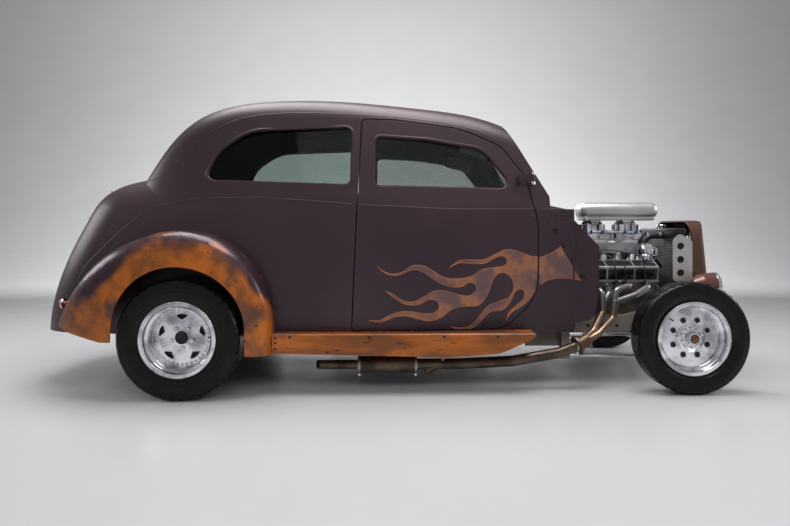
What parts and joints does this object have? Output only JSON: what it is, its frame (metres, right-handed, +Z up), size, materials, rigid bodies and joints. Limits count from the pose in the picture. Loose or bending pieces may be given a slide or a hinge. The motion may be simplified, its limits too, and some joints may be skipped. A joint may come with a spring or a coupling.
{
  "type": "hot rod",
  "caption": "Closed two-door hot rod on a bare frame: open V8 with air scoop, side pipes, wide polished wheels, rounded rear fenders, opening doors and boot lid.",
  "frame": {"origin": "on the ground under the middle of the car's length and width", "axes": "+X to the nose, +Y to the car's left, +Z up"},
  "size_m": [4.2448, 1.7642, 1.7362],
  "materials": {
    "plum_paint": "satin plum body paint",
    "patina_paint": "orange patina over plum, satin",
    "brown_paint": "brown metallic, glossy",
    "frame_paint": "dull tan-grey",
    "black_steel": "satin black",
    "engine_iron": "dark grey, oily",
    "polished": "polished",
    "cast_aluminium": "satin cast",
    "header_bronze": "heat-browned, satin",
    "chrome": "bright",
    "tyre_rubber": "satin",
    "hose_rubber": "satin",
    "clear_glass": "clear, faint green",
    "seat_cloth": "worn dark brown",
    "dash_paint": "satin plum",
    "red_lens": "glossy red",
    "black_plastic": "glossy black",
    "bare_steel": "dull"
  },
  "bodies": {
    "car": {"frame": "frame_paint", "body_shell": "plum_paint", "bay_panels": "plum_paint", "floor_pan": "black_steel", "rocker_panels": "patina_paint", "rear_fender_right": "patina_paint", "rear_fender_left": "patina_paint", "door_hinges": "chrome", "boot_hinges": "chrome", "fixed_glass": "clear_glass", "dashboard": "dash_paint", "seats": "seat_cloth", "engine": "engine_iron", "valve_covers": "cast_aluminium", "intake_manifold": "cast_aluminium", "carburettors": "cast_aluminium", "air_scoop": "cast_aluminium", "belt_drive": "bare_steel", "headers": "header_bronze", "exhausts": "header_bronze", "radiator": "black_steel", "radiator_hose": "hose_rubber", "grille_shell": "brown_paint", "grille_bars": "bare_steel", "headlights": "brown_paint", "tail_lamps": "red_lens", "rear_axle": "black_steel", "leaf_springs": "black_steel", "fuel_tank": "bare_steel", "front_axle": "frame_paint", "radius_rods": "chrome"},
    "door_right": {"door_right": "plum_paint", "door_glass_right": "clear_glass"},
    "door_left": {"door_left": "plum_paint", "door_glass_left": "clear_glass"},
    "boot_lid": {"boot_lid": "plum_paint"},
    "steering_wheel": {"steering_wheel": "black_plastic"},
    "fan": {"fan": "bare_steel"},
    "knuckle_right": {"knuckle_right": "black_steel"},
    "knuckle_left": {"knuckle_left": "black_steel"},
    "tie_rod": {"tie_rod": "chrome"},
    "front_wheel_right": {"wheel_front_right": "polished", "tyre_front_right": "tyre_rubber"},
    "front_wheel_left": {"wheel_front_left": "polished", "tyre_front_left": "tyre_rubber"},
    "rear_wheel_right": {"wheel_rear_right": "polished", "tyre_rear_right": "tyre_rubber"},
    "rear_wheel_left": {"wheel_rear_left": "polished", "tyre_rear_left": "tyre_rubber"}
  },
  "joints": [
    {"name": "door_right_hinge", "type": "hinge", "parent": "car", "child": "door_right", "pos_m": [0.8305, -0.596, 1.225], "axis": [0, 0, 1], "range_deg": [0, 65]},
    {"name": "door_left_hinge", "type": "hinge", "parent": "car", "child": "door_left", "pos_m": [0.8305, 0.596, 1.225], "axis": [0, 0, 1], "range_deg": [-65, 0]},
    {"name": "boot_lid_hinge", "type": "hinge", "parent": "car", "child": "boot_lid", "pos_m": [-1.76, 0, 1.1634], "axis": [0, 1, 0], "range_deg": [0, 60]},
    {"name": "steering_right", "type": "hinge", "parent": "car", "child": "knuckle_right", "pos_m": [1.6975, -0.6, 0.315], "axis": [0, 0, 1], "range_deg": [-28, 28]},
    {"name": "steering_left", "type": "hinge", "parent": "car", "child": "knuckle_left", "pos_m": [1.6975, 0.6, 0.315], "axis": [0, 0, 1], "range_deg": [-28, 28]},
    {"name": "tie_rod_pivot", "type": "hinge", "parent": "knuckle_right", "child": "tie_rod", "pos_m": [1.5475, -0.575, 0.24], "axis": [0, 0, 1], "range_deg": [-28, 28]},
    {"name": "steering_wheel_turn", "type": "hinge", "parent": "car", "child": "steering_wheel", "pos_m": [0.5925, 0.33, 0.985], "axis": [-0.9115, 0, 0.4113], "range_deg": [-393, 393]},
    {"name": "front_wheel_right_spin", "type": "hinge", "parent": "knuckle_right", "child": "front_wheel_right", "pos_m": [1.6975, -0.691, 0.315], "axis": [0, 1, 0], "continuous": true},
    {"name": "front_wheel_left_spin", "type": "hinge", "parent": "knuckle_left", "child": "front_wheel_left", "pos_m": [1.6975, 0.691, 0.315], "axis": [0, 1, 0], "continuous": true},
    {"name": "rear_wheel_right_spin", "type": "hinge", "parent": "car", "child": "rear_wheel_right", "pos_m": [-1.1475, -0.722, 0.3325], "axis": [0, 1, 0], "continuous": true},
    {"name": "rear_wheel_left_spin", "type": "hinge", "parent": "car", "child": "rear_wheel_left", "pos_m": [-1.1475, 0.722, 0.3325], "axis": [0, 1, 0], "continuous": true},
    {"name": "fan_spin", "type": "hinge", "parent": "car", "child": "fan", "pos_m": [1.7575, 0, 0.62], "axis": [1, 0, 0], "continuous": true}
  ],
  "couplings": [
    {"joint": "steering_left", "follows": "steering_right", "ratio": 1},
    {"joint": "tie_rod_pivot", "follows": "steering_right", "ratio": -1},
    {"joint": "steering_wheel_turn", "follows": "steering_right", "ratio": 14}
  ]
}
